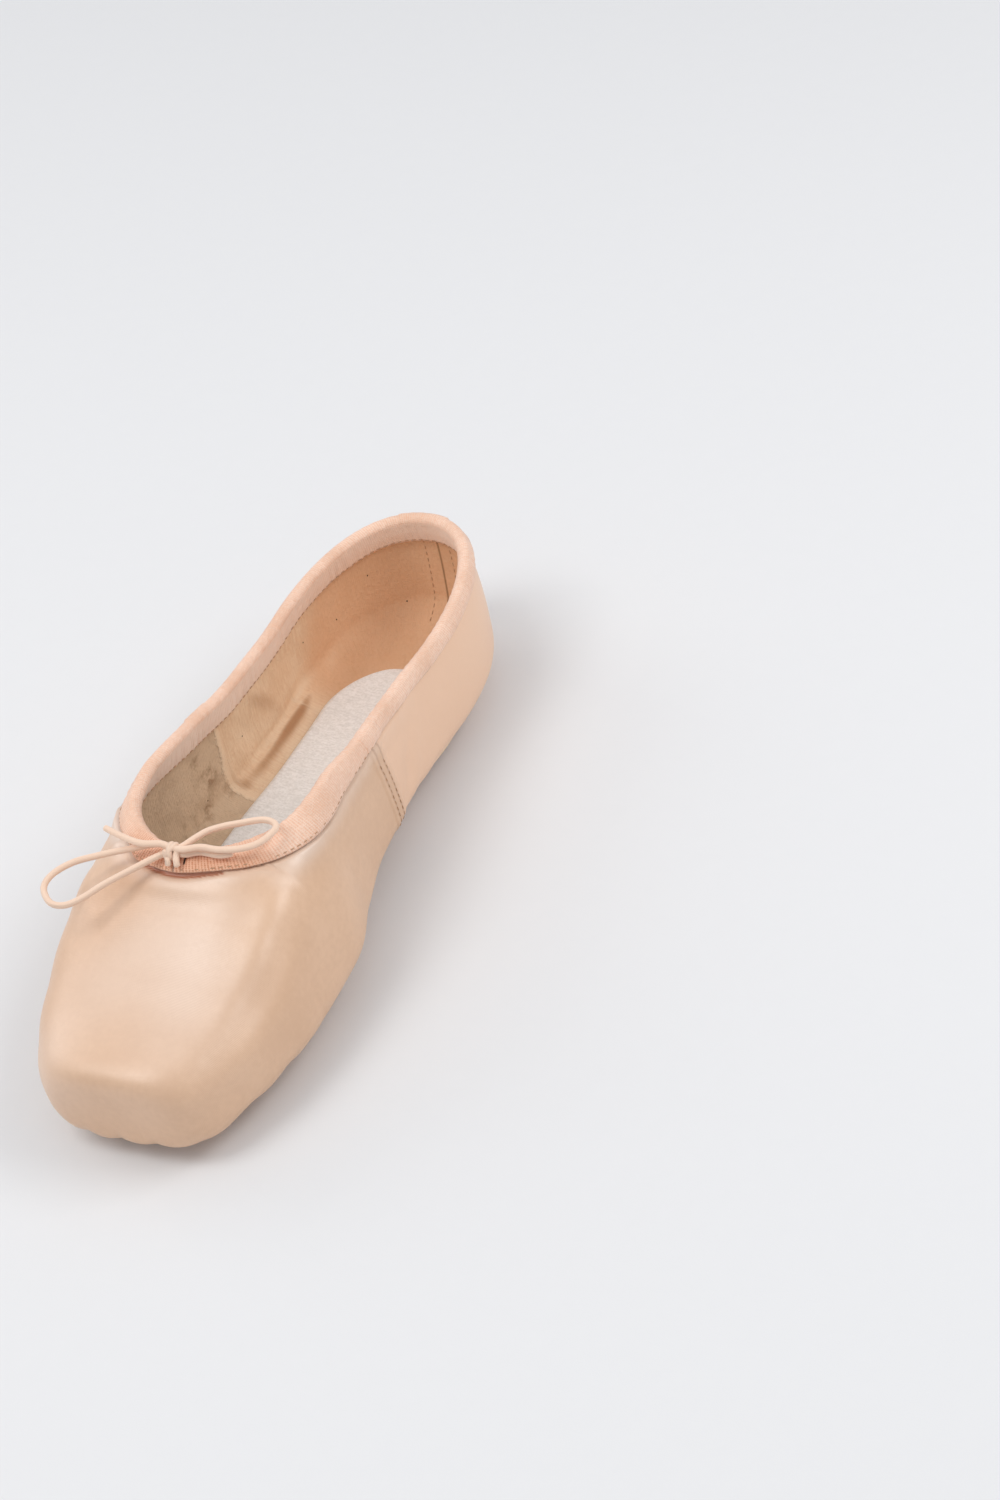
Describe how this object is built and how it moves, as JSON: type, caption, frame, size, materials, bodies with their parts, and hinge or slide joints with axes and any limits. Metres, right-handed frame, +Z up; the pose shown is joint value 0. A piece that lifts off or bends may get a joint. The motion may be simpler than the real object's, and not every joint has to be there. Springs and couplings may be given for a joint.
{
  "type": "pointe shoe",
  "caption": "Straight-lasted satin ballet shoe with a stiff flat-tipped toe box, drawstring casing round the collar, short leather outsole and insole.",
  "frame": {"origin": "on the floor under the middle of the shoe's length and width, drawstring left out", "axes": "+Y from toe to heel, +X to the side that the picture shows nearer, +Z up"},
  "size_m": [0.0862, 0.2385, 0.064],
  "materials": {
    "satin": "peach satin with a soft sheen",
    "sole_leather": "matt tan leather with a darker edge",
    "insole_felt": "light grey felt",
    "casing_tape": "ribbed peach tape",
    "drawstring": "round woven cotton cord"
  },
  "bodies": {
    "root": {"upper": "satin", "outsole": "sole_leather", "insole": "insole_felt", "casing": "casing_tape", "knot": "drawstring", "loop_left": "drawstring", "loop_right": "drawstring", "end_left": "drawstring", "end_right": "drawstring", "lead_left": "drawstring", "lead_right": "drawstring"}
  },
  "joints": []
}
